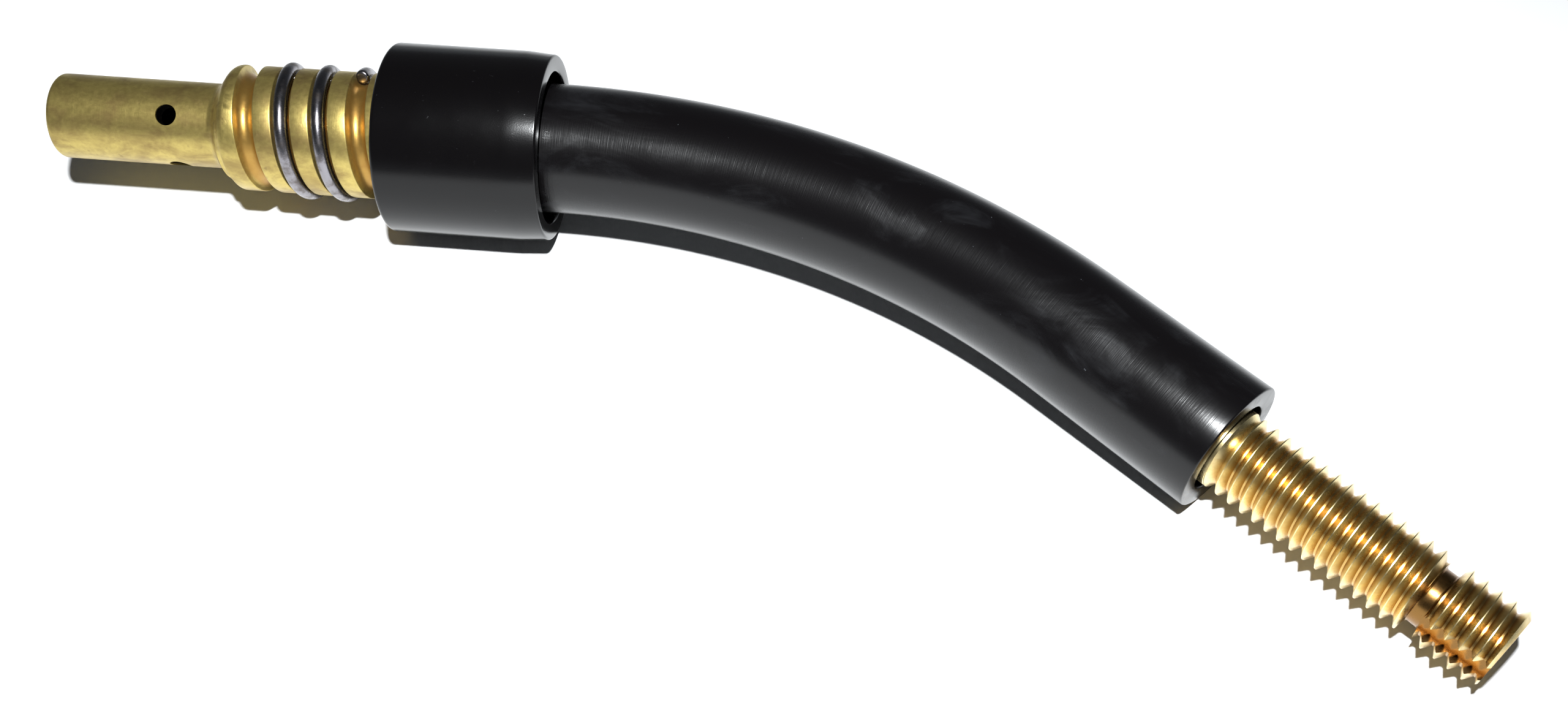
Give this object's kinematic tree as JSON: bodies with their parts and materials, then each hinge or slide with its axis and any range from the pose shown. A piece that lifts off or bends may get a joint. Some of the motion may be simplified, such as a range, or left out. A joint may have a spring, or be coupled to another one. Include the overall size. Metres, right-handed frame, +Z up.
{
  "type": "mig welding torch neck",
  "caption": "Bent MIG torch neck: brass tip holder with nozzle spring, black insulating collar, black curved sleeve and a threaded brass stud behind.",
  "frame": {"origin": "on the surface that the neck rests on, under the centre of its plan outline", "axes": "+X along the front axis from the tip end towards the handle end, +Y away from the side the neck bends to, +Z up"},
  "size_m": [0.1704, 0.0742, 0.0231],
  "materials": {
    "turned_brass": "satin, lightly tarnished",
    "threaded_brass": "bright machined thread",
    "spring_steel": "drawn wire, dull",
    "collar_plastic": "glossy moulded, fine speckle",
    "sleeve_plastic": "semi-gloss with handling smears",
    "copper": "plain copper"
  },
  "bodies": {
    "neck": {"front_body": "turned_brass", "insulating_collar": "collar_plastic", "neck_sleeve": "sleeve_plastic", "conductor_tube": "copper", "rear_stud": "threaded_brass"},
    "spring": {"nozzle_spring": "spring_steel"}
  },
  "joints": [
    {"name": "spring_turn", "type": "hinge", "parent": "neck", "child": "spring", "pos_m": [-0.05516, 0.02551, 0.01156], "axis": [1, 0, 0], "range_deg": [-18, 18]}
  ]
}
